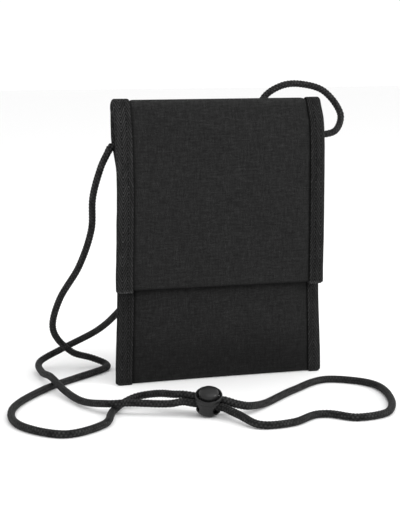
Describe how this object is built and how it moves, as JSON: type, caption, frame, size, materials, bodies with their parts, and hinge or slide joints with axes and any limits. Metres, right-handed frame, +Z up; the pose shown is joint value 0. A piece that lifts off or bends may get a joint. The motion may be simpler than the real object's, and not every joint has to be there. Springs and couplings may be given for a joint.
{
  "type": "neck pouch wallet",
  "caption": "Flat canvas pouch with a fold-over flap and bound side edges, worn round the neck on a cord with a sprung cord lock.",
  "frame": {"origin": "under the middle of the closed pouch, on the surface that its lower edge stands on", "axes": "+X to the right as seen from the flap's side, +Y from the flap towards the wearer's chest, +Z up from the lower edge to the fold"},
  "size_m": [0.2343, 0.1891, 0.1899],
  "materials": {
    "canvas": "black plain-weave canvas, matte with visible slubs",
    "lining": "thin black lining cloth, faint sheen",
    "closure_tape": "black hook and loop tape",
    "binding_tape": "black herringbone tape, slight sheen on the weave",
    "cord": "black round braid",
    "lock_plastic": "black moulded plastic, satin",
    "spring_steel": "bare spring wire"
  },
  "bodies": {
    "pouch": {"front_panel": "canvas", "back_panel": "canvas", "slip_pocket_divider": "lining", "loop_tape": "closure_tape", "body_binding_left": "binding_tape", "body_binding_right": "binding_tape", "cord_anchor_left": "cord", "cord_anchor_right": "cord", "neck_cord": "cord"},
    "flap": {"flap_panel": "canvas", "flap_lining": "lining", "hook_tape": "closure_tape", "flap_binding_left": "binding_tape", "flap_binding_right": "binding_tape"},
    "cord_lock": {"cord_lock_barrel": "lock_plastic", "cord_lock_spring": "spring_steel"},
    "lock_button": {"cord_lock_button": "lock_plastic"}
  },
  "joints": [
    {"name": "flap_hinge", "type": "hinge", "parent": "pouch", "child": "flap", "pos_m": [0, 0.0024, 0.1754], "axis": [-1, 0, 0], "range_deg": [0, 180]},
    {"name": "lock_slide", "type": "slide", "parent": "pouch", "child": "cord_lock", "axis": [0.8768, -0.4709, -0.0971], "range_m": [-0.006, 0]},
    {"name": "button_press", "type": "slide", "parent": "cord_lock", "child": "lock_button", "axis": [0.126, 0.4199, -0.8988], "range_m": [0, 0.0022], "stiffness_N_per_m": 500, "springref_m": -0.004, "deforming": ["cord_lock_spring"]}
  ]
}
